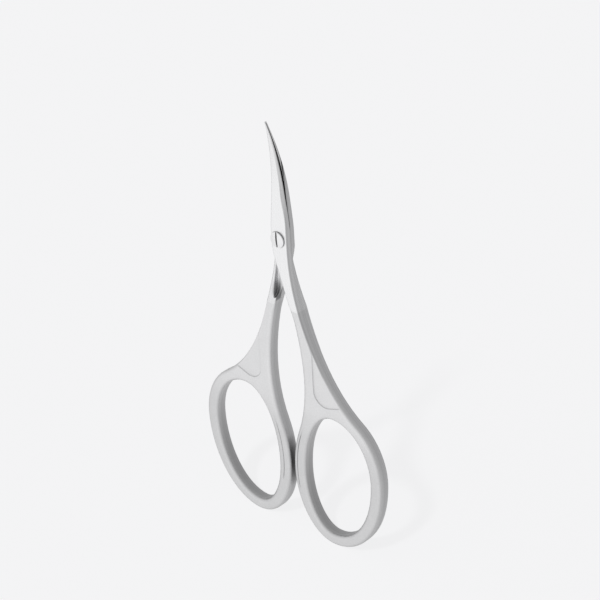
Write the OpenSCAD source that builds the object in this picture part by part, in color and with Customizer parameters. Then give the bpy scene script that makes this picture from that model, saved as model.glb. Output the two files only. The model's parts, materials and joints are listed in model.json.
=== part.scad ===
// Cuticle scissors with curved blades: two forged halves on one slotted pivot screw.
// The pair lies on its back with the screw head up. X runs across the rings, Y runs from the
// rings to the blade tips, and the origin is on the pivot axis in the plane of the back.
// The blades are closed, which is the rest pose.

/* [Overall] */
// Distance from the pivot axis to the far end of the finger rings
ring_reach = 67.7; // [64:0.1:72]
// Distance from the pivot axis to the blade tips
blade_reach = 25.3; // [22:0.1:30]
// Thickness of the handles, and of the two halves together at the pivot
pair_thickness = 2.9; // [2.6:0.1:3.2]

/* [Finger rings] */
// Width of each finger hole
finger_hole_w = 17.3; // [16:0.1:19]
// Height of each finger hole
finger_hole_h = 28.2; // [26:0.1:30]
// Gap that stays between the two closed rings
ring_gap = 1; // [0.6:0.1:2]
// Wall of the ring beside the other ring
ring_inner_wall = 3.2; // [2.6:0.1:3.8]
// Wall of the ring on its outer side
ring_outer_wall = 2.95; // [2.4:0.05:3.6]
// Wall of the ring at its far end
ring_end_wall = 2.6; // [2.2:0.1:3.4]
// Rise of the ring's outline above the hole, where the shoulder runs into it
ring_shoulder_wall = 2.4; // [2:0.1:3.2]
// How far the top of the hole leans outward from the hole's middle
hole_top_lean = -0.4; // [-1:0.1:1]
// How far the bottom of the hole leans outward from the hole's middle
hole_bottom_lean = -2; // [-3:0.1:0]
// How far the hole's widest outer point lies above its middle
hole_outer_lift = 2.5; // [0:0.1:4]
// How far the hole's widest inner point lies above its middle
hole_inner_lift = -1.65; // [-3:0.05:0]
// Radius of the long edges of the handles
handle_edge_r = 0.8; // [0.5:0.05:1]
// Distance from the pivot axis at which the outer edges start to round off
outer_round_start = 14; // [12:1:18]
// Distance from the pivot axis at which the outer edges are fully round
outer_round_end = 34; // [28:1:36]
// Distance from the pivot axis at which the inner edges start to round off
inner_round_start = 13; // [12:0.5:15]
// Distance from the pivot axis at which the inner edges are fully round
inner_round_end = 18; // [17:0.5:22]

/* [Shank] */
// Distance below the pivot at which the shank's curves start
shank_start = 2; // [1.5:0.1:3]
// Direction round the ring at which the shank's outer edge leaves it
outer_join_angle = 60; // [54:1:66]
// Pull of the outer edge along the ring
outer_join_pull = 11.8; // [10:0.1:14]
// Pull of the outer edge along the pivot
outer_pivot_pull = 12.3; // [11:0.1:14]
// Direction round the ring at which the shank's inner edge leaves it
inner_join_angle = 148.4; // [144:0.1:152]
// Pull of the inner edge along the ring
inner_join_pull = 17.6; // [16:0.1:19]
// Pull of the inner edge along the pivot
inner_pivot_pull = 6.9; // [5:0.1:9]
// Slope of the inner edge where it leaves the pivot
inner_pivot_slope = 0.15; // [0:0.05:0.3]

/* [Pivot] */
// Distance from the pivot axis to the spine side of each half
pivot_spine_w = 1.75; // [1.7:0.05:2.2]
// Distance from the pivot axis to the cutting side of each half
pivot_edge_w = 2.1; // [1.8:0.05:2.6]
// Gap between the two faces that run on each other at the pivot
face_gap = 0.06; // [0.04:0.01:0.1]
// Diameter of the screw's shank
screw_d = 2.2; // [1.8:0.1:2.4]
// Radial clearance of the shank in the front half
bore_clearance = 0.03; // [0.02:0.01:0.06]
// Radial clearance of the shank in the rear half, where the thread holds it
thread_clearance = 0.01; // [0.01:0.01:0.02]
// Diameter of the screw head
head_d = 3.3; // [3:0.1:3.5]
// Height of the screw head over the front face
head_h = 0.45; // [0.3:0.05:0.7]
// Rise of the domed top within the head's height
head_dome = 0.15; // [0.05:0.05:0.25]
// Gap under the screw head
head_gap = 0.03; // [0.02:0.01:0.05]
// Width of the screwdriver slot
slot_w = 0.4; // [0.3:0.05:0.6]
// Depth of the screwdriver slot below the top of the head
slot_depth = 0.28; // [0.15:0.01:0.3]
// Angle of the screwdriver slot from the blades
slot_angle = 3; // [0:1:90]

/* [Shank pocket] */
// Start of the pocket's end on the inner edge, as a share of the shank's curve
inner_ramp_start = 0.16; // [0.14:0.01:0.2]
// End of the pocket on the inner edge, as a share of the shank's curve
inner_ramp_end = 0.37; // [0.34:0.01:0.4]
// Start of the sloped strip along the outer edge, as a share of the shank's curve
outer_ramp_start = 0.02; // [0.01:0.01:0.06]
// End of the sloped strip along the outer edge, as a share of the shank's curve
outer_ramp_end = 0.32; // [0.28:0.01:0.34]
// Power of the pocket's dished floor, more for a flatter floor and a steeper end
dish_power = 12; // [8:1:14]
// Width of the pocket at its upper end, as a share of the shank's width
pocket_top_share = 0.84; // [0.8:0.01:0.88]
// Width of the pocket at its lower end, as a share of the shank's width
pocket_end_share = 0.2; // [0.15:0.01:0.3]
// Width of the pocket's steep side wall, as a share of the shank's width
pocket_wall_share = 0.1; // [0.06:0.01:0.12]

/* [Blades] */
// Distance from the pivot axis at which the blades start to narrow
taper_start = 2; // [1:0.5:4]
// Power of the blade's taper in width, 1 for straight sides
taper_power = 1.25; // [1.1:0.05:1.8]
// Distance from the pivot axis at which the blades start to bend
bend_start = 8.5; // [6:0.5:11]
// Radius of the blades' bend towards the front
bend_r = 50; // [42:1:80]
// Thickness of each blade at its tip
tip_thickness = 0.2; // [0.2:0.05:0.4]
// Width of each blade's spine side at its tip
tip_w = 0.1; // [0.08:0.01:0.2]
// Width of the ground bevel beside the cutting edge
bevel_w = 0.3; // [0.2:0.05:0.4]
// Distance from the pivot axis at which the bevel is fully ground
bevel_start = 10; // [8:0.5:14]
// Height of the narrow land left at the cutting edge
edge_land = 0.08; // [0.05:0.01:0.12]
// Distance from the pivot axis at which the running face ends
relief_start = 4; // [3.5:0.5:5]
// Relief of the blades' inner faces from the running faces, where they meet again at the tips
blade_relief = 0.02; // [0.01:0.01:0.04]
// Bow of each blade away from the other, halfway along
blade_bow = 0.18; // [0.05:0.01:0.2]
// Depth of the hollow ground along the blade's inner face
hollow_depth = 0.1; // [0.05:0.01:0.15]
// Radius of the broken edges at the pivot and along the spines
fine_edge_r = 0.15; // [0.1:0.05:0.25]

/* [Shoulder scoop] */
// Depth of the scoop sunk in each shoulder
scoop_depth = 0.2; // [0.15:0.05:0.3]
// Radius of the scoop's round lower end
scoop_r = 3; // [2.6:0.1:3.4]
// Width of the scoop's sloped wall
scoop_wall = 0.12; // [0.08:0.01:0.2]
// Distance from the pivot axis to the middle of the scoop's lower end
scoop_reach = 31.6; // [31:0.1:32.2]
// Sideways place of the scoop's lower end
scoop_side = 10.1; // [9.8:0.1:10.4]

/* [Finger line] */
// Distance of the front face's fine line from the edge beside the other ring
front_line_inset = 1.1; // [1:0.05:1.3]
// Distance of the back face's fine line from the edge beside the other ring
back_line_inset = 1.8; // [1.7:0.05:2]
// Distance from the pivot axis to the middle of the fine lines
line_reach = 50.5; // [49:0.1:52]
// Length of the fine lines
line_length = 17; // [14:0.5:20]
// Half width of the fine lines
line_half_w = 0.13; // [0.1:0.01:0.2]
// Depth of the fine lines
line_depth = 0.15; // [0.08:0.01:0.18]

/* [Hidden] */

steel = [0.86, 0.86, 0.87];
screw_steel = [0.78, 0.78, 0.79];

mid = pair_thickness / 2;
run_z = face_gap / 2;
bore_d = screw_d + 2 * bore_clearance;
tapped_d = screw_d + 2 * thread_clearance;
cut_far = 30;

// Extremes of the finger hole
hole_left = ring_gap / 2 + ring_inner_wall;
hole_right = hole_left + finger_hole_w;
hole_bottom = ring_end_wall - ring_reach;
hole_top = hole_bottom + finger_hole_h;
hole_x = (hole_left + hole_right) / 2;
hole_y = (hole_bottom + hole_top) / 2;
hole_peaks = [hole_x + hole_top_lean, hole_y + hole_outer_lift,
              hole_x + hole_bottom_lean, hole_y + hole_inner_lift];
hole_box = [hole_left, hole_right, hole_bottom, hole_top];
ring_box = [ring_gap / 2, hole_right + ring_outer_wall, -ring_reach, hole_top + ring_shoulder_wall];

// Steps along each curve
blade_steps = 24;
floor_steps = 4;
ramp_steps = 9;
shank_steps = 14;
ring_steps = 32;
hole_steps = 64;
corner_steps = 4;
dome_steps = 8;

// Half the gap, in degrees, between the ring's two skinned edges at its bottom
ring_seam = 1.5;
bottom_angle = 270;

// Distances above the pivot: where the cutting side meets the blade's taper, how far the bevel's
// start lies above the taper's, and over what lengths the hollow grinding fades in and out
edge_meet = 10;
bevel_lag = 1;
hollow_in = 4;
hollow_out = 8;

// Powers of the blade's thickness and of its bow, and the share of the blade that fades the
// relief in
thickness_power = 1.15;
bow_power = 0.9;
relief_share = 0.2;

// Largest shares of the corner sizes beside the blade's own width, and the corner left on the
// inner face
fine_share = 0.6;
bevel_share = 0.8;
least_corner = 0.02;

// Places of the fine line's points across a shank that is too narrow for it
narrow_share = 0.4;
narrow_step = 0.05;
line_fade = 3;

// Length of the scoop's cutter above its lower end, and its lean towards the outer edge
scoop_run = 10;
scoop_lean = 1;

function mix(a, b, w) = a + (b - a) * w;
function clamp01(v) = min(1, max(0, v));
function ease(from, to, v) = let (w = clamp01((v - from) / (to - from))) w * w * (3 - 2 * w);
function unit(v) = v / norm(v);

// Oval of four quarter ellipses. The box holds its left, right, bottom and top extremes, and
// the peaks hold the top's x, the right side's y, the bottom's x and the left side's y.
function oval(box, peaks, a) =
    let (c = cos(a), s = sin(a),
         x0 = s >= 0 ? peaks[0] : peaks[2],
         y0 = c >= 0 ? peaks[1] : peaks[3],
         rx = c >= 0 ? box[1] - x0 : x0 - box[0],
         ry = s >= 0 ? box[3] - y0 : y0 - box[2])
    [x0 + rx * c, y0 + ry * s];
function oval_way(box, peaks, a) = unit(oval(box, peaks, a + 0.05) - oval(box, peaks, a - 0.05));
function bezier(p, t) =
    pow(1 - t, 3) * p[0] + 3 * pow(1 - t, 2) * t * p[1] + 3 * (1 - t) * t * t * p[2] + pow(t, 3) * p[3];

// Control points of the shank's two edges, from the pivot down to the ring
inner_start = [-pivot_spine_w, -shank_start];
inner_end = oval(ring_box, hole_peaks, inner_join_angle);
inner_way = oval_way(ring_box, hole_peaks, inner_join_angle);
inner_curve = [inner_start, inner_start + inner_pivot_pull * unit([inner_pivot_slope, -1]),
               inner_end - inner_join_pull * inner_way, inner_end];
outer_start = [pivot_edge_w, -shank_start];
outer_end = oval(ring_box, hole_peaks, outer_join_angle);
outer_way = oval_way(ring_box, hole_peaks, outer_join_angle);
outer_curve = [outer_start, outer_start - [0, outer_pivot_pull],
               outer_end + outer_join_pull * outer_way, outer_end];

// Blade sizes at a distance y above the pivot
function along(y) = clamp01((y - taper_start) / (blade_reach - taper_start));
function spine_w(y) = mix(pivot_spine_w, tip_w, pow(along(y), taper_power));
function edge_w(y) = mix(pivot_edge_w, spine_w(y) - tip_w / 2, ease(taper_start, edge_meet, y));
function blade_t(y) = mix(mid, tip_thickness, pow(along(y), thickness_power));
function bend_z(y) = y > bend_start ? pow(y - bend_start, 2) / (2 * bend_r) : 0;

// Stages along the shank: 0 to 1 down the running face, 1 to 2 along the ramp, and 2 to 3 on to
// the ring. Blade stations are at stage 0 and ring stations at stage 3, and the back's own points
// are fully reached at back_stage.
stages = concat([for (i = [1 : floor_steps]) i / floor_steps],
                [for (i = [1 : ramp_steps]) 2 - pow(1 - i / ramp_steps, 2)],
                [for (i = [1 : shank_steps]) 2 + i / shank_steps]);
function share(stage, from, to) =
    stage < 1 ? stage * from : stage < 2 ? mix(from, to, stage - 1) : mix(to, 1, stage - 2);

// Stations from the tip to the ring's far end, as pairs of inner and outer edge points
blade_ys = [for (i = [0 : blade_steps]) mix(blade_reach, -shank_start, i / blade_steps)];
blade_pairs = [for (y = blade_ys) [[-spine_w(y), y], [edge_w(y), y]]];
shank_pairs = [for (t = stages) [bezier(inner_curve, share(t, inner_ramp_start, inner_ramp_end)),
                                 bezier(outer_curve, share(t, outer_ramp_start, outer_ramp_end))]];
ring_pairs = [for (i = [1 : ring_steps]) let (w = i / ring_steps)
    [oval(ring_box, hole_peaks, mix(inner_join_angle, bottom_angle - ring_seam, w)),
     oval(ring_box, hole_peaks, mix(outer_join_angle, bottom_angle - 360 + ring_seam, w))]];
pairs = concat(blade_pairs, shank_pairs, ring_pairs);
last = len(pairs) - 1;
function stage_at(i) =
    i <= blade_steps ? 0 : i <= blade_steps + len(stages) ? stages[i - blade_steps - 1] : 3;
back_stage = 2.7;

function way_at(i, side) =
    unit(pairs[min(i + 1, last)][side] - pairs[max(i - 1, 0)][side]);
function inward(i, side) = let (w = way_at(i, side)) side == 0 ? [-w[1], w[0]] : [w[1], -w[0]];

// Rounded or bevelled corner, as distances in from the edge and down from the face.
// Power 2 gives a quarter round and power 1 gives a straight bevel.
function corner(a, c, power) = [for (k = [0 : corner_steps])
    let (f = 90 * k / corner_steps) [a * (1 - pow(sin(f), 2 / power)), c * (1 - pow(cos(f), 2 / power))]];

// Height of the inner face: relieved and bowed along the blade, level at the pivot, and down the
// ramp to the back of the handle, by a straight slope or a dished one
function under_z(i, bend, power) =
    let (y = pairs[i][0][1], t = stage_at(i),
         w = clamp01((y - relief_start) / (blade_reach - relief_start)))
    t > 1 ? run_z - (mid + run_z) * pow(clamp01(t - 1), power) :
    bend * bend_z(y) + run_z + blade_relief * ease(0, relief_share, w)
        + blade_bow * pow(sin(180 * pow(w, bow_power)), 2);
function over_z(y, bend) = bend * bend_z(y) + blade_t(y);

// Profile of one side of a station, from the outer face down to the inner face
function side_profile(i, side, bend) =
    let (p = pairs[i][side], n = inward(i, side), y = (pairs[i][0][1] + pairs[i][1][1]) / 2,
         top = over_z(y, bend), low = under_z(i, bend, side == 1 ? 1 : dish_power),
         grip = side == 0 ? ease(-inner_round_start, -inner_round_end, y)
                          : ease(-outer_round_start, -outer_round_end, y),
         sharp = side == 1 ? ease(taper_start + bevel_lag, bevel_start, y) : 0,
         fine = min(fine_edge_r, spine_w(y) * fine_share),
         a = mix(mix(fine, handle_edge_r, grip), min(bevel_w, spine_w(y) * bevel_share), sharp),
         c = mix(mix(fine, handle_edge_r, grip), top - low - edge_land, sharp),
         b = mix(least_corner, handle_edge_r, grip),
         upper = [for (q = corner(a, c, mix(2, 1, sharp))) [q[0], top - q[1]]],
         lower = [for (q = corner(b, b, 2)) [q[0], low + q[1]]],
         profile = concat(upper, [for (k = [corner_steps : -1 : 0]) lower[k]]))
    [for (q = profile) concat(p + n * q[0], q[1])];

// Points of the fine line on a face, from its inner edge a towards its outer edge b. The line
// has no depth away from the rings.
function line_points(a, b, inset, down) =
    let (d = norm(b - a),
         reach = abs(a[1] + line_reach),
         cut = down * line_depth * ease(line_length / 2, line_length / 2 - line_fade, reach))
    [for (k = [-1 : 1])
        let (f = min((inset - handle_edge_r + k * line_half_w) / d, narrow_share + k * narrow_step))
        mix(a, b, f) - [0, 0, k == 0 ? cut : 0]];

// Width of the pocket's floor at a stage, as a share of the shank's width
function pocket_share(t) = mix(pocket_top_share, pocket_end_share, pow(clamp01(t - 1), 3));

// Points along the inner face of a station, from its inner to its outer side: raised by the
// hollow grinding along the blade, then across the pocket's floor, its wall and the outer strip
function floor_points(i, from, to, bend) =
    let (y = pairs[i][0][1], t = stage_at(i), r = pocket_share(t), half_wall = pocket_wall_share / 2,
         rise = hollow_depth * ease(relief_start, relief_start + hollow_in, y)
             * clamp01((blade_reach - y) / hollow_out),
         shares = [r * 0.35, r * 0.7, r - half_wall, r + half_wall, (r + half_wall + 1) / 2])
    [for (k = [0 : 4]) let (f = shares[k], p = mix(from, to, f))
        t > 1 ? [p[0], p[1], under_z(i, bend, k > 2 ? 1 : dish_power)]
              : p + [0, 0, 4 * f * (1 - f) * rise]];

// Closed loop of points round a station. From the middle of the outer face it runs down the
// inner side, across the inner face, up the outer side and back.
function loop_at(i, bend) =
    let (a = side_profile(i, 0, bend), b = side_profile(i, 1, bend), m = len(a) - 1,
         front = line_points(a[0], b[0], front_line_inset, 1),
         line = line_points(a[m], b[m], back_line_inset, -1),
         back = [line[0], line[1], line[2], mix(line[2], b[m], 1 / 3), mix(line[2], b[m], 2 / 3)],
         floor = floor_points(i, a[m], b[m], bend), w = ease(2, back_stage, stage_at(i)))
    concat([front[1], front[0]], a, [for (k = [0 : 4]) mix(floor[k], back[k], w)],
           [for (k = [m : -1 : 0]) b[k]], [front[2]]);

// Skin through equal loops of points, closed at both ends by ladders across the loop
module skin(loops) {
    m = len(loops[0]);
    n = len(loops);
    sides = [for (j = [0 : n - 2]) for (k = [0 : m - 1])
        let (a = j * m + k, b = j * m + (k + 1) % m) each [[b + m, b, a], [a + m, b + m, a]]];
    start_cap = [for (k = [0 : m / 2 - 1]) each
        [if (k > 0) [k, k + 1, m - k], if (k < m / 2 - 1) [k + 1, m - k - 1, (m - k) % m]]];
    end_cap = [for (f = start_cap) [for (k = [2 : -1 : 0]) f[k] + (n - 1) * m]];
    polyhedron(points = [for (l = loops) each l], faces = concat(sides, start_cap, end_cap), convexity = 8);
}

// Solid body of one half about the pivot's middle plane, before its cuts
module half_body(bend) {
    skin([for (i = [0 : last]) loop_at(i, bend)]);
}

// Finger hole with rounded lips on both faces
module finger_hole() {
    lip = corner(handle_edge_r, handle_edge_r, 2);
    profile = concat([[handle_edge_r, mid + 1]], [for (q = lip) [q[0], mid - q[1]]],
                     [for (k = [corner_steps : -1 : 0]) [lip[k][0], lip[k][1] - mid]],
                     [[handle_edge_r, -mid - 1]]);
    rings = [for (q = profile) [for (k = [0 : hole_steps - 1])
        let (f = 360 * k / hole_steps,
             p = oval(hole_box, hole_peaks, f), w = oval_way(hole_box, hole_peaks, f))
        [p[0] + w[1] * q[0], p[1] - w[0] * q[0], q[1]]]];
    m = hole_steps;
    n = len(rings);
    sides = [for (j = [0 : n - 2]) for (k = [0 : m - 1])
        let (a = j * m + k, b = j * m + (k + 1) % m) each [[a, b, b + m], [a, b + m, a + m]]];
    top_cap = [[for (k = [m - 1 : -1 : 0]) k]];
    low_cap = [[for (k = [0 : m - 1]) (n - 1) * m + k]];
    polyhedron(points = [for (r = rings) each r], faces = concat(sides, top_cap, low_cap), convexity = 4);
}

// Shallow scoop in the shoulder, open to the outer edge. Its floor is scoop_depth below z = 0.
module shoulder_scoop() {
    spots = [[0, 0], [scoop_r, scoop_lean], [0, scoop_run], [scoop_r, scoop_run]];
    hull() for (s = spots) translate([scoop_side + s[0], s[1] - scoop_reach, -scoop_depth])
        cylinder(h = 2 * scoop_depth, r1 = scoop_r - scoop_wall, r2 = scoop_r + scoop_wall, $fn = 40);
}

// Body with its shaped cuts, as one skin. A resize by zeros keeps every size.
module shaped_half(bend) {
    resize([0, 0, 0]) difference() {
        half_body(bend);
        finger_hole();
        translate([0, 0, mid]) shoulder_scoop();
        mirror([0, 0, 1]) translate([0, 0, mid]) shoulder_scoop();
    }
}

// One half with its ring on the right, its blade bent up or down, and a bore for the screw
module scissor_half(bend, screw_bore) {
    difference() {
        shaped_half(bend);
        translate([0, 0, -cut_far / 2]) cylinder(h = cut_far, d = screw_bore, $fn = 64);
    }
}

// Half under the screw's thread: ring on the left, blade behind
module rear_half() {
    color(steel) translate([0, 0, mid]) rotate([0, 180, 0]) scissor_half(-1, tapped_d);
}

// Half under the screw's head: ring on the right, blade in front
module front_half() {
    color(steel) translate([0, 0, mid]) scissor_half(1, bore_d);
}

// Slotted screw with a low domed head, flush with the back of the rear half
module pivot_screw() {
    seat_z = pair_thickness + head_gap;
    head_r = head_d / 2;
    wall_top = seat_z + head_h - head_dome;
    dome_r = (head_r * head_r + head_dome * head_dome) / (2 * head_dome);
    dome_z = seat_z + head_h - dome_r;
    dome = [for (k = [0 : dome_steps]) let (x = head_r * (1 - k / dome_steps))
        [x, dome_z + sqrt(dome_r * dome_r - x * x)]];
    color(screw_steel) difference() {
        union() {
            cylinder(h = seat_z + head_h / 4, d = screw_d, $fn = 64);
            rotate_extrude($fn = 64)
                polygon(concat([[0, seat_z], [head_r, seat_z], [head_r, wall_top - 0.001]], dome));
        }
        rotate([0, 0, slot_angle])
            translate([-slot_w / 2, -head_d, seat_z + head_h - slot_depth])
                cube([slot_w, 2 * head_d, head_h]);
    }
}

rear_half();
front_half();
pivot_screw();
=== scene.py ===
"""Finishes, stage and camera for a pair of stainless steel cuticle scissors.

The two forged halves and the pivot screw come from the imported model. This script gives them
smooth shading and their steel finishes, and stands them in a plain pale studio.
"""
import json
import math

import bpy
from mathutils import Matrix, Vector


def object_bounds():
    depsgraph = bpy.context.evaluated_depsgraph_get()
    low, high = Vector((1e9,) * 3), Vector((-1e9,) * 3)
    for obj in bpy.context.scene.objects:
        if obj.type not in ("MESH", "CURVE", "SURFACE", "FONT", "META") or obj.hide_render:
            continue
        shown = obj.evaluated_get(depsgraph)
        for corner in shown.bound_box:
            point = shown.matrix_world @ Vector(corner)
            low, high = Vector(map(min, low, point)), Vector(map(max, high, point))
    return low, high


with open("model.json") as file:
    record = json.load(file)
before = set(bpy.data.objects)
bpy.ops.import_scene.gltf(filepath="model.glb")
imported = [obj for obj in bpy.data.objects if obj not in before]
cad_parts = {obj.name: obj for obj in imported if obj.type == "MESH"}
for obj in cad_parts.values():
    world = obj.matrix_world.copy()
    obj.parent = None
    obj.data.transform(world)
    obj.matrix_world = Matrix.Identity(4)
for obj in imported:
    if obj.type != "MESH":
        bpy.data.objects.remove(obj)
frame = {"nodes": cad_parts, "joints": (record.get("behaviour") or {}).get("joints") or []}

bl_info = {
    "name": "Cuticle scissors",
    "version": (1, 0, 0),
    "blender": (4, 5, 0),
    "location": "3D View > Sidebar > Scissors",
    "description": "Steel finishes, stage and camera for a pair of cuticle scissors",
    "category": "Object",
}

MM = 0.001
CAD_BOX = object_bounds()

# Height of the plane in which the two halves meet
JOINT_HEIGHT = frame["joints"][0]["pos_m"][2]

# Distance of each finger hole's middle from the pivot axis, and the hole's half size, both in
# millimetres, across and along the scissors
HOLE_MIDDLE = (12.35, 51.0)
HOLE_HALF = (8.65, 14.1)

# How far the masked edge between the finishes wanders and over how much it blends, in millimetres
EDGE_WANDER = 0.3
EDGE_BLEND = 0.12

# Share of open surroundings at which a surface counts as clear of the painted crevice shade, and how
# steeply that painted shade darkens it below
CLEAR_SHARE = 0.8
CREVICE_POWER = 1.6

# Direction of the room's brightest part, in front of the scissors, low and a little to the left,
# and how steeply the light falls away from it
BRIGHT_SIDE = (-0.25, -0.25, 0.935)
ROOM_POWER = 1.6

# Direction of the key light, above the tips and in front, a little to the right
KEY_SIDE = (0.13, 0.763, 0.633)

# Point that the camera looks at, in millimetres
CAMERA_TARGET = (-2.13, -17.4, -4.55)

# Range in which most values of a noise texture lie
NOISE_RANGE = {"From Min": 0.3, "From Max": 0.7}

# Marks per millimetre: waves of the masked edge, belt bands up the side walls, uneven patches
# from blasting by hand, and turned rings on the screw
WAVES_PER_MM = 3.0
BANDS_PER_MM = 2.2
PATCHES_PER_MM = 0.35
RINGS_PER_MM = 7.0

# How squarely a surface faces the front or back, from 1 down to 0. Side walls begin at the first
# value and are full at the second, and the darker-drawn faces of the rings likewise.
WALL_TILT = (0.75, 0.25)
FACE_TILT = (0.35, 0.65)


def colour(hex_value):
    """Linear red, green and blue of an sRGB hex value such as "E4E4E6"."""
    channels = [int(hex_value[i:i + 2], 16) / 255 for i in (0, 2, 4)]
    return tuple(c / 12.92 if c <= 0.04045 else ((c + 0.055) / 1.055) ** 2.4 for c in channels)


def add_node(tree, kind, settings=None, inputs=None):
    """Add a node, set its properties, and give each input a value or a link from a socket."""
    node = tree.nodes.new(kind)
    for name, value in (settings or {}).items():
        setattr(node, name, value)
    for name, value in (inputs or {}).items():
        if isinstance(value, bpy.types.NodeSocket):
            tree.links.new(value, node.inputs[name])
        else:
            node.inputs[name].default_value = value
    return node


def new_material(name):
    """Empty node material, as the material and its tree."""
    material = bpy.data.materials.new(name)
    material.use_nodes = True
    material.node_tree.nodes.clear()
    return material, material.node_tree


class SteelFinish(bpy.types.PropertyGroup):
    """Colours, grain, wear and painted shade of the steel."""

    blade_colour: bpy.props.FloatVectorProperty(
        name="Satin steel", description="Colour of the front half's satin blade and shank",
        default=colour("F0F0F1"), subtype="COLOR", size=3, min=0, max=1)
    # Painted shade: the rear half's satin steel is the front half's steel drawn in a darker colour
    rear_blade_shaded_colour: bpy.props.FloatVectorProperty(
        name="Rear satin steel", description="Colour of the rear half's satin blade and shank",
        default=colour("E5E5E6"), subtype="COLOR", size=3, min=0, max=1)
    handle_colour: bpy.props.FloatVectorProperty(
        name="Blasted steel", description="Colour of the blasted handles",
        default=colour("E2E2E3"), subtype="COLOR", size=3, min=0, max=1)
    screw_colour: bpy.props.FloatVectorProperty(
        name="Screw steel", description="Colour of the turned pivot screw",
        default=colour("EBEBEC"), subtype="COLOR", size=3, min=0, max=1)
    finish_line: bpy.props.FloatProperty(
        name="Finish line",
        description="Distance below the pivot at which the satin ends and the blasting starts",
        default=15 * MM, unit="LENGTH", min=8 * MM, max=25 * MM)
    grain_width: bpy.props.FloatProperty(
        name="Satin grain", description="Width of the grinding lines that run along the blades",
        default=0.28 * MM, unit="LENGTH", min=0.05 * MM, max=1 * MM)
    bead_size: bpy.props.FloatProperty(
        name="Blasting grain", description="Spacing of the dimples on the blasted handles",
        default=0.3 * MM, unit="LENGTH", min=0.05 * MM, max=1 * MM)
    edge_radius: bpy.props.FloatProperty(
        name="Satin edge radius",
        description="Radius to which grinding and handling wore the satin edges",
        default=0.3 * MM, unit="LENGTH", min=0, max=1 * MM)
    blasted_radius: bpy.props.FloatProperty(
        name="Blasted edge radius", description="Radius to which the blasting wore the handles' edges",
        default=0.15 * MM, unit="LENGTH", min=0, max=1 * MM)
    # Painted shade along the joint between the blades
    joint_painted_shade: bpy.props.FloatProperty(
        name="Joint line", description="Share of light left on the oil along the blades' joint",
        default=0.15, subtype="FACTOR", min=0, max=1)
    # Painted shade in the pockets' lower ends
    pocket_painted_shade: bpy.props.FloatProperty(
        name="Pocket shade", description="Share of light left on the oil in the pockets' lower ends",
        default=0.38, subtype="FACTOR", min=0, max=1)
    # Share to which the rings' faces are drawn darker
    face_light: bpy.props.FloatProperty(
        name="Ring faces", description="Share of light left on the rings' faces, dulled by fingers",
        default=0.87, subtype="FACTOR", min=0, max=1)
    # Painted shade inside the finger holes
    hole_painted_shade: bpy.props.FloatProperty(
        name="Finger holes", description="Share of light left inside the holes, dulled by fingers",
        default=0.74, subtype="FACTOR", min=0, max=1)
    smooth_angle: bpy.props.FloatProperty(
        name="Smooth angle",
        description="Faces that meet at less than this angle are shaded as one surface",
        default=math.radians(33), subtype="ANGLE", min=0, max=math.pi)


class Studio(bpy.types.PropertyGroup):
    """Floor, light and camera."""

    floor_colour: bpy.props.FloatVectorProperty(
        name="Floor", description="Colour of the floor paper",
        default=colour("F6F6F7"), subtype="COLOR", size=3, min=0, max=1)
    background_colour: bpy.props.FloatVectorProperty(
        name="Background", description="Colour beyond the floor, the same as the lit floor's",
        default=colour("F4F4F5"), subtype="COLOR", size=3, min=0, max=1)
    floor_size: bpy.props.FloatProperty(
        name="Floor size", description="Side of the square floor",
        default=6, unit="LENGTH", min=1, max=20)
    shadow_share: bpy.props.FloatProperty(
        name="Shadow share",
        description="Share of the floor's colour that the lamps give, so how deep a shadow is",
        default=0.12, subtype="FACTOR", min=0, max=1)
    key_strength: bpy.props.FloatProperty(
        name="Key light", description="Strength of the key light that casts the shadow",
        default=1.2, min=0, max=10)
    key_width: bpy.props.FloatProperty(
        name="Key width", description="Apparent width of the key light, which softens the shadow",
        default=math.radians(5), subtype="ANGLE", min=0, max=math.pi)
    dim_level: bpy.props.FloatProperty(
        name="Dim side", description="Brightness of the room behind and above the scissors",
        default=0.31, min=0, max=1)
    bright_level: bpy.props.FloatProperty(
        name="Bright side", description="Brightness of the room in front of the scissors",
        default=1.105, min=0, max=2)
    background_share: bpy.props.FloatProperty(
        name="Mirrored background",
        description="Share of the pale background in what the steel mirrors, beside the room",
        default=0.2, subtype="FACTOR", min=0, max=1)
    camera_azimuth: bpy.props.FloatProperty(
        name="Camera azimuth",
        description="Turn of the camera about the scissors' length from straight in front",
        default=math.radians(42.03), subtype="ANGLE")
    camera_elevation: bpy.props.FloatProperty(
        name="Camera elevation", description="Height of the camera above the rings' floor, as an angle",
        default=math.radians(31.78), subtype="ANGLE")
    camera_lean: bpy.props.FloatProperty(
        name="Lean", description="Lean of the scissors in the picture, about the pivot axis",
        default=math.radians(-3.83), subtype="ANGLE")
    camera_distance: bpy.props.FloatProperty(
        name="Camera distance", description="Distance from the camera to the point it looks at",
        default=388.6 * MM, unit="LENGTH", min=0.1, max=5)
    camera_lens: bpy.props.FloatProperty(
        name="Lens", description="Focal length in millimetres on a 36 mm wide sensor",
        default=116.57, unit="CAMERA", min=20, max=300)


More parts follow.
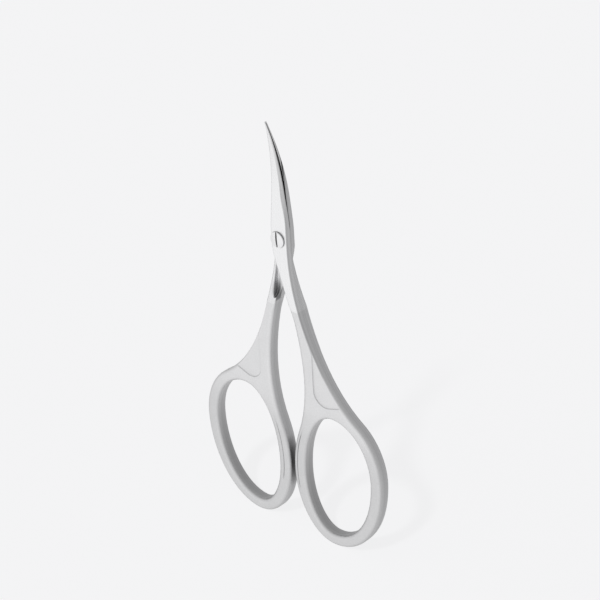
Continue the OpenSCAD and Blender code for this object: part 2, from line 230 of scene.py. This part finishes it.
def smooth_shading_group(angle):
    """Geometry nodes that shade as one surface all faces that meet at less than an angle."""
    group = bpy.data.node_groups.new("smooth below an angle", "GeometryNodeTree")
    group.interface.new_socket("Geometry", in_out="INPUT", socket_type="NodeSocketGeometry")
    group.interface.new_socket("Geometry", in_out="OUTPUT", socket_type="NodeSocketGeometry")
    start = add_node(group, "NodeGroupInput")
    plain = add_node(group, "GeometryNodeRemoveAttribute",
                     inputs={"Geometry": start.outputs[0], "Name": "custom_normal"})
    smooth = add_node(group, "GeometryNodeSetShadeSmooth", {"domain": "FACE"},
                      {"Geometry": plain.outputs[0], "Shade Smooth": True})
    edge = add_node(group, "GeometryNodeInputMeshEdgeAngle")
    soft = add_node(group, "FunctionNodeCompare", {"data_type": "FLOAT", "operation": "LESS_THAN"},
                    {"A": edge.outputs["Unsigned Angle"], "B": angle})
    edges = add_node(group, "GeometryNodeSetShadeSmooth", {"domain": "EDGE"},
                     {"Geometry": smooth.outputs[0], "Shade Smooth": soft.outputs[0]})
    add_node(group, "NodeGroupOutput", inputs={"Geometry": edges.outputs[0]})
    return group


def smooth_solid(solid, angle):
    """Join a solid's faces and shade its rounded edges smoothly, with its flat faces left flat."""
    weld = solid.modifiers.new("join faces", "WELD")
    weld.merge_threshold = 0.002 * MM
    shade = solid.modifiers.new("smooth shading", "NODES")
    shade.node_group = smooth_shading_group(angle)
    normals = solid.modifiers.new("flat faces", "WEIGHTED_NORMAL")
    normals.keep_sharp = True
    normals.weight = 100  # the most that large faces can count for


def give_material(solid, material):
    """Put one material on every slot of a solid."""
    for slot in solid.material_slots:
        slot.material = material


def place_in_mm(tree):
    """Position on a solid in millimetres, in the frame of its own half."""
    coordinates = add_node(tree, "ShaderNodeTexCoord")
    return add_node(tree, "ShaderNodeVectorMath", {"operation": "MULTIPLY"},
                    {0: coordinates.outputs["Object"], 1: (1 / MM,) * 3}).outputs[0]


def soft_area(tree, limits, inside=1.0, outside=0.0):
    """Value that is one thing inside an area and another outside it, with soft edges.

    Each limit is a measure, the value at which the area begins and the one from which it is
    full. It may begin above or below. The area is where all its limits are met.
    """
    amount = 1.0
    for measure, begins, full in limits:
        edge = add_node(tree, "ShaderNodeMapRange", {"interpolation_type": "SMOOTHSTEP"},
                        {"Value": measure, "From Min": begins, "From Max": full}).outputs[0]
        amount = add_node(tree, "ShaderNodeMath", {"operation": "MULTIPLY"},
                          {0: amount, 1: edge}).outputs[0]
    return add_node(tree, "ShaderNodeMapRange",
                    inputs={"Value": amount, "To Min": outside, "To Max": inside}).outputs[0]


def crevice_shade(tree, reach):
    """Share of light left in grooves, gaps and corners, from 1 in the open down to 0.

    Painted shade: the colour is darkened where steel mirrors steel and little of the room reaches it,
    so grooves, gaps and corners look dark. The reach is in millimetres.
    """
    open_share = add_node(tree, "ShaderNodeAmbientOcclusion", {"samples": 12},
                          {"Distance": reach * MM})
    clear = add_node(tree, "ShaderNodeMapRange",
                     inputs={"Value": open_share.outputs["AO"],
                             "From Max": CLEAR_SHARE}).outputs[0]
    return add_node(tree, "ShaderNodeMath", {"operation": "POWER"},
                    {0: clear, 1: CREVICE_POWER}).outputs[0]


def painted_shade_of_half(tree, finish, place, tilt, side):
    """Share of light left on a half under painted shade, in its crevices, along the blades' joint, in
    the pocket's lower end and inside the finger holes, with the rings' faces drawn a little darker.

    The halves are turned copies of each other, so the side is 1 on the rear half and -1 on the
    front one. Measures are in millimetres: across towards the other half's ring, along towards
    the tips, up from the plane of the joint towards the other half. The tilt is how squarely the
    surface faces the front or back.
    """
    turned = add_node(tree, "ShaderNodeVectorMath", {"operation": "MULTIPLY_ADD"},
                      {0: place, 1: (side, 1, side), 2: (0, 0, -side * JOINT_HEIGHT / MM)}).outputs[0]
    across, along, up = add_node(tree, "ShaderNodeSeparateXYZ", inputs={0: turned}).outputs
    # The other shank crosses the pocket at a slant, 0.35 mm across for each millimetre along
    slanted = add_node(tree, "ShaderNodeMath", {"operation": "MULTIPLY_ADD"},
                       {0: along, 1: 0.35, 2: across}).outputs[0]
    folded = add_node(tree, "ShaderNodeVectorMath", {"operation": "ABSOLUTE"}, {0: turned}).outputs[0]
    off_joint = add_node(tree, "ShaderNodeSeparateXYZ", inputs={0: folded}).outputs["Z"]

    # Distance from the middle of the finger hole, 1 at the hole's edge
    (hole_x, hole_y), (half_x, half_y) = HOLE_MIDDLE, HOLE_HALF
    in_hole = add_node(tree, "ShaderNodeVectorMath", {"operation": "MULTIPLY_ADD"},
                       {0: folded, 1: (1 / half_x, 1 / half_y, 0),
                        2: (-hole_x / half_x, -hole_y / half_y, 0)}).outputs[0]
    from_hole = add_node(tree, "ShaderNodeVectorMath", {"operation": "LENGTH"},
                         {0: in_hole}).outputs["Value"]

    # Painted shade in grooves and gaps, left out of the pocket 4 to 9 mm below the pivot
    crevices = soft_area(tree, [(along, -12.0, -9.0), (along, -2.5, -4.0)],
                         inside=1.0, outside=crevice_shade(tree, reach=3.0))

    # Painted shade: a thin dark line along the joint between the blades above the pivot, where the gap
    # between them lies in shade
    joint = soft_area(tree, [(off_joint, 0.28, 0.12), (along, 1.8, 3.6), (tilt, *WALL_TILT)],
                      inside=finish.joint_painted_shade, outside=1.0)

    # Painted shade in the pocket's lower end, 13 to 14 mm down, where a shank leaves the other: the
    # dark walls that the polished hollow mirrors are painted in
    pocket = soft_area(tree, [(across, -3.0, -1.9), (slanted, -4.4, -5.6), (up, -0.2, 0.0),
                              (up, 1.42, 1.2), (along, -9.2, -12.6), (along, -14.6, -13.8)],
                       inside=finish.pocket_painted_shade, outside=1.0)

    # The rings' faces are drawn a little darker below 35 mm, and painted shade darkens the insides of
    # the finger holes more
    faces = soft_area(tree, [(along, -35.0, -46.0), (tilt, *FACE_TILT)],
                      inside=finish.face_light, outside=1.0)
    holes = soft_area(tree, [(from_hole, 1.2, 1.08), (along, -40.0, -60.0), (tilt, *WALL_TILT)],
                      inside=finish.hole_painted_shade, outside=1.0)

    left = crevices
    for share in (joint, pocket, faces, holes):
        left = add_node(tree, "ShaderNodeMath", {"operation": "MULTIPLY"},
                        {0: left, 1: share}).outputs[0]
    return left


def forged_steel(finish, half):
    """Stainless steel, forged, with ground satin blades and bead-blasted handles.

    The satin gives faint bright lines along the blades. The blasting leaves fine even dimples,
    which turn the same steel into a soft grey with no mirror image. Both are finer on the real
    steel than the picture can show, so they are drawn a few times as coarse.
    """
    material, tree = new_material(
        "stainless steel, satin blade and bead-blasted handle, " + half.replace("_", " "))
    # The rear half's satin takes the darker colour, a painted shade of the same steel
    satin_colour, side = {"rear_half": (finish.rear_blade_shaded_colour, 1),
                          "front_half": (finish.blade_colour, -1)}[half]
    place = place_in_mm(tree)
    parts = add_node(tree, "ShaderNodeSeparateXYZ", inputs={0: place}).outputs

    # The masked edge between the two finishes, a little uneven
    ragged = add_node(tree, "ShaderNodeTexNoise",
                      inputs={"Vector": place, "Scale": WAVES_PER_MM,
                              "Detail": 2.0}).outputs["Fac"]
    uneven = add_node(tree, "ShaderNodeMath", {"operation": "MULTIPLY_ADD"},
                      {0: ragged, 1: EDGE_WANDER, 2: parts["Y"]}).outputs[0]
    line = -finish.finish_line / MM + EDGE_WANDER / 2
    blasted = soft_area(tree, [(uneven, line + EDGE_BLEND, line - EDGE_BLEND)])

    # Grinding lines along the blade: narrow across, 40 times as long in the grinding direction
    grain = 1 / (finish.grain_width / MM)
    stretched = add_node(tree, "ShaderNodeVectorMath", {"operation": "MULTIPLY"},
                         {0: place, 1: (grain, grain / 40, grain)}).outputs[0]
    lines = add_node(tree, "ShaderNodeTexNoise",
                     inputs={"Vector": stretched, "Scale": 1.0, "Detail": 3.0,
                             "Roughness": 0.6}).outputs["Fac"]

    # Bead dimples, and the slow unevenness of blasting by hand
    beads = add_node(tree, "ShaderNodeTexNoise",
                     inputs={"Vector": place, "Scale": 1 / (finish.bead_size / MM), "Detail": 2.0,
                             "Roughness": 0.65}).outputs["Fac"]
    clouds = add_node(tree, "ShaderNodeTexNoise",
                      inputs={"Vector": place, "Scale": PATCHES_PER_MM,
                              "Detail": 3.0}).outputs["Fac"]

    # How squarely a surface faces the front or back, and the share of side wall in it
    normal = add_node(tree, "ShaderNodeTexCoord").outputs["Normal"]
    upright = add_node(tree, "ShaderNodeSeparateXYZ", inputs={0: normal}).outputs["Z"]
    tilt = add_node(tree, "ShaderNodeMath", {"operation": "ABSOLUTE"}, {0: upright}).outputs[0]
    sideways = soft_area(tree, [(tilt, *WALL_TILT)])

    # Faint bands along the side walls, left by the belt that ground them
    wave = add_node(tree, "ShaderNodeTexNoise", {"noise_dimensions": "1D"},
                    {"W": parts["Z"], "Scale": BANDS_PER_MM, "Detail": 2.0}).outputs["Fac"]
    drawn = add_node(tree, "ShaderNodeMapRange",
                     inputs={"Value": wave, **NOISE_RANGE, "To Min": -0.14, "To Max": 0.1}).outputs[0]
    bands = add_node(tree, "ShaderNodeMath", {"operation": "MULTIPLY_ADD"},
                     {0: drawn, 1: sideways, 2: 1.0}).outputs[0]

    # Each finish has its own roughness and tone. Inputs 2 and 3 of a mix take numbers, and 6 and
    # 7 take colours.
    satin_rough = add_node(tree, "ShaderNodeMapRange",
                           inputs={"Value": lines, **NOISE_RANGE,
                                   "To Min": 0.24, "To Max": 0.36}).outputs[0]
    blast_rough = add_node(tree, "ShaderNodeMapRange",
                           inputs={"Value": clouds, **NOISE_RANGE,
                                   "To Min": 0.4, "To Max": 0.48}).outputs[0]
    roughness = add_node(tree, "ShaderNodeMix", {"data_type": "FLOAT"},
                         {"Factor": blasted, 2: satin_rough, 3: blast_rough}).outputs[0]

    satin_tone = add_node(tree, "ShaderNodeMapRange",
                          inputs={"Value": lines, **NOISE_RANGE,
                                  "To Min": 0.96, "To Max": 1.0}).outputs[0]
    blast_tone = add_node(tree, "ShaderNodeMapRange",
                          inputs={"Value": beads, **NOISE_RANGE,
                                  "To Min": 0.94, "To Max": 1.0}).outputs[0]
    tone = add_node(tree, "ShaderNodeMix", {"data_type": "FLOAT"},
                    {"Factor": blasted, 2: satin_tone, 3: blast_tone}).outputs[0]
    # Painted shade on the half darkens its tone
    for share in (bands, painted_shade_of_half(tree, finish, place, tilt, side)):
        tone = add_node(tree, "ShaderNodeMath", {"operation": "MULTIPLY"},
                        {0: tone, 1: share}).outputs[0]
    base = add_node(tree, "ShaderNodeMix", {"data_type": "RGBA"},
                    {"Factor": blasted, 6: (*satin_colour, 1),
                     7: (*finish.handle_colour, 1)}).outputs[2]
    toned = add_node(tree, "ShaderNodeVectorMath", {"operation": "SCALE"},
                     {0: base, "Scale": tone}).outputs[0]

    # Worn edges, with the fine relief of the grinding and the beads on them
    radius = add_node(tree, "ShaderNodeMapRange",
                      inputs={"Value": blasted, "To Min": finish.edge_radius,
                              "To Max": finish.blasted_radius}).outputs[0]
    worn = add_node(tree, "ShaderNodeBevel", {"samples": 8}, {"Radius": radius}).outputs[0]
    height = add_node(tree, "ShaderNodeMix", {"data_type": "FLOAT"},
                      {"Factor": blasted, 2: lines, 3: beads}).outputs[0]
    relief = add_node(tree, "ShaderNodeBump",
                      inputs={"Height": height, "Strength": 0.6, "Distance": 0.008 * MM,
                              "Normal": worn}).outputs[0]
    steel = add_node(tree, "ShaderNodeBsdfPrincipled",
                     inputs={"Base Color": toned, "Metallic": 1.0, "Roughness": roughness,
                             "Normal": relief})
    add_node(tree, "ShaderNodeOutputMaterial", inputs={"Surface": steel.outputs[0]})
    return material


def turned_steel(finish):
    """Steel screw, turned on a lathe, which leaves fine rings round its axis.

    They give its highlight a faint streak. Real ones are too fine to show, so these are drawn
    about three times as coarse.
    """
    material, tree = new_material("stainless steel, turned screw")
    place = place_in_mm(tree)
    flat = add_node(tree, "ShaderNodeVectorMath", {"operation": "MULTIPLY"},
                    {0: place, 1: (1.0, 1.0, 0.0)}).outputs[0]
    radius = add_node(tree, "ShaderNodeVectorMath", {"operation": "LENGTH"},
                      {0: flat}).outputs["Value"]
    rings = add_node(tree, "ShaderNodeTexNoise", {"noise_dimensions": "1D"},
                     {"W": radius, "Scale": RINGS_PER_MM, "Detail": 2.0}).outputs["Fac"]
    rough = add_node(tree, "ShaderNodeMapRange",
                     inputs={"Value": rings, **NOISE_RANGE,
                             "To Min": 0.22, "To Max": 0.34}).outputs[0]
    relief = add_node(tree, "ShaderNodeBump",
                      inputs={"Height": rings, "Strength": 0.6, "Distance": 0.01 * MM}).outputs[0]
    # Painted shade darkens the screw's colour in its slot and round the head's rim
    toned = add_node(tree, "ShaderNodeVectorMath", {"operation": "SCALE"},
                     {0: finish.screw_colour, "Scale": crevice_shade(tree, reach=1.0)}).outputs[0]
    steel = add_node(tree, "ShaderNodeBsdfPrincipled",
                     inputs={"Base Color": toned, "Metallic": 1.0, "Roughness": rough,
                             "Normal": relief})
    add_node(tree, "ShaderNodeOutputMaterial", inputs={"Surface": steel.outputs[0]})
    return material


def floor_paper(studio):
    """Pale paper floor. It shows its own colour evenly, and darkens where the key light is blocked.

    It is seen from its upper side only.
    """
    material, tree = new_material("pale paper floor")
    paper = add_node(tree, "ShaderNodeBsdfDiffuse", inputs={"Color": (*studio.floor_colour, 1)})
    light = add_node(tree, "ShaderNodeEmission",
                     inputs={"Color": (*studio.floor_colour, 1), "Strength": 1.0})
    lit = add_node(tree, "ShaderNodeMixShader",
                   inputs={0: studio.shadow_share, 1: light.outputs[0], 2: paper.outputs[0]})
    below = add_node(tree, "ShaderNodeNewGeometry").outputs["Backfacing"]
    clear = add_node(tree, "ShaderNodeBsdfTransparent")
    both = add_node(tree, "ShaderNodeMixShader",
                    inputs={0: below, 1: lit.outputs[0], 2: clear.outputs[0]})
    add_node(tree, "ShaderNodeOutputMaterial", inputs={"Surface": both.outputs[0]})
    return material


class SCISSORS_OT_finish_halves(bpy.types.Operator):
    """Smooth both forged halves and give them their satin and blasted steel"""

    bl_idname = "scissors.finish_halves"
    bl_label = "Finish the halves"

    def execute(self, context):
        finish = context.scene.steel_finish
        for name in ("rear_half", "front_half"):
            smooth_solid(frame["nodes"][name], finish.smooth_angle)
            give_material(frame["nodes"][name], forged_steel(finish, name))
        return {"FINISHED"}


class SCISSORS_OT_finish_screw(bpy.types.Operator):
    """Smooth the pivot screw and give it its turned steel"""

    bl_idname = "scissors.finish_screw"
    bl_label = "Finish the pivot screw"

    def execute(self, context):
        finish = context.scene.steel_finish
        smooth_solid(frame["nodes"]["pivot_screw"], finish.smooth_angle)
        give_material(frame["nodes"]["pivot_screw"], turned_steel(finish))
        return {"FINISHED"}


class SCISSORS_OT_build_stage(bpy.types.Operator):
    """Make the pale floor that the rings stand on, the light, the room and the camera"""

    bl_idname = "scissors.build_stage"
    bl_label = "Build the stage"

    def execute(self, context):
        scene = context.scene
        studio = scene.studio
        self.make_floor(scene, studio)
        self.make_light(scene, studio)
        self.make_room(scene, studio)
        self.make_camera(scene, studio)
        scene.view_settings.view_transform = "Standard"
        return {"FINISHED"}

    def make_floor(self, scene, studio):
        """Square floor across the scissors' length, at the ends of the rings that stand on it."""
        half = studio.floor_size / 2
        ring_end = CAD_BOX[0][1]
        mesh = bpy.data.meshes.new("floor")
        mesh.from_pydata([(-half, ring_end, half), (half, ring_end, half),
                          (half, ring_end, -half), (-half, ring_end, -half)], [], [(0, 1, 2, 3)])
        mesh.materials.append(floor_paper(studio))
        floor = bpy.data.objects.new("floor", mesh)
        floor.visible_glossy = False
        # Without a shadow of its own, it doesn't turn the rings' ends into a crevice
        floor.visible_shadow = False
        scene.collection.objects.link(floor)

    def make_light(self, scene, studio):
        """Soft key light, which the steel doesn't mirror."""
        data = bpy.data.lights.new("key light", "SUN")
        data.energy = studio.key_strength
        data.angle = studio.key_width
        lamp = bpy.data.objects.new("key light", data)
        lamp.visible_glossy = False
        lamp.rotation_euler = Vector(KEY_SIDE).to_track_quat("Z", "Y").to_euler()
        scene.collection.objects.link(lamp)

    def make_room(self, scene, studio):
        """Pale room that lights the steel, behind a plain background for the camera."""
        world = bpy.data.worlds.new("pale room")
        world.use_nodes = True
        tree = world.node_tree
        tree.nodes.clear()
        direction = add_node(tree, "ShaderNodeTexCoord").outputs["Generated"]
        facing = add_node(tree, "ShaderNodeVectorMath", {"operation": "DOT_PRODUCT"},
                          {0: direction, 1: BRIGHT_SIDE}).outputs["Value"]
        share = add_node(tree, "ShaderNodeMapRange",
                         inputs={"Value": facing, "From Min": -1.0, "From Max": 1.0}).outputs[0]
        falloff = add_node(tree, "ShaderNodeMath", {"operation": "POWER"},
                           {0: share, 1: ROOM_POWER}).outputs[0]
        level = add_node(tree, "ShaderNodeMapRange",
                         inputs={"Value": falloff, "To Min": studio.dim_level,
                                 "To Max": studio.bright_level}).outputs[0]
        room = add_node(tree, "ShaderNodeBackground",
                        inputs={"Color": (1, 1, 1, 1), "Strength": level})
        plain = add_node(tree, "ShaderNodeBackground",
                         inputs={"Color": (*studio.background_colour, 1), "Strength": 1.0})

        # The camera sees the plain background alone, and mirror rays see a share of it
        path = add_node(tree, "ShaderNodeLightPath")
        seen = add_node(tree, "ShaderNodeMath", {"operation": "MULTIPLY_ADD"},
                        {0: path.outputs["Is Glossy Ray"], 1: studio.background_share,
                         2: path.outputs["Is Camera Ray"]}).outputs[0]
        both = add_node(tree, "ShaderNodeMixShader",
                        inputs={0: seen, 1: room.outputs[0], 2: plain.outputs[0]})
        add_node(tree, "ShaderNodeOutputWorld", inputs={"Surface": both.outputs[0]})
        scene.world = world

    def make_camera(self, scene, studio):
        """Camera at the picture's viewing angle."""
        turn = (Matrix.Rotation(studio.camera_lean, 3, "Z")
                @ Matrix.Rotation(studio.camera_azimuth, 3, "Y")
                @ Matrix.Rotation(-studio.camera_elevation, 3, "X"))
        place = Vector(CAMERA_TARGET) * MM + turn @ Vector((0, 0, studio.camera_distance))
        data = bpy.data.cameras.new("camera")
        data.sensor_width = 36
        data.lens = studio.camera_lens
        data.clip_start = 0.01
        data.clip_end = 20
        camera = bpy.data.objects.new("camera", data)
        camera.matrix_world = Matrix.Translation(place) @ turn.to_4x4()
        scene.collection.objects.link(camera)
        scene.camera = camera


class SCISSORS_PT_panel(bpy.types.Panel):
    """Steps and settings of the cuticle scissors"""

    bl_label = "Cuticle scissors"
    bl_idname = "SCISSORS_PT_panel"
    bl_space_type = "VIEW_3D"
    bl_region_type = "UI"
    bl_category = "Scissors"

    def draw(self, context):
        for settings in (context.scene.steel_finish, context.scene.studio):
            box = self.layout.box()
            for name in settings.__annotations__:
                box.prop(settings, name)
        for operator in OPERATORS:
            self.layout.operator(operator.bl_idname)


OPERATORS = (SCISSORS_OT_finish_halves, SCISSORS_OT_finish_screw, SCISSORS_OT_build_stage)
CLASSES = (SteelFinish, Studio, *OPERATORS, SCISSORS_PT_panel)


def register():
    for cls in CLASSES:
        bpy.utils.register_class(cls)
    bpy.types.Scene.steel_finish = bpy.props.PointerProperty(type=SteelFinish)
    bpy.types.Scene.studio = bpy.props.PointerProperty(type=Studio)


def unregister():
    del bpy.types.Scene.studio
    del bpy.types.Scene.steel_finish
    for cls in reversed(CLASSES):
        bpy.utils.unregister_class(cls)


def main():
    """Finish the scissors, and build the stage."""
    register()
    bpy.ops.scissors.finish_halves()
    bpy.ops.scissors.finish_screw()
    bpy.ops.scissors.build_stage()


if __name__ == "__main__":
    main()
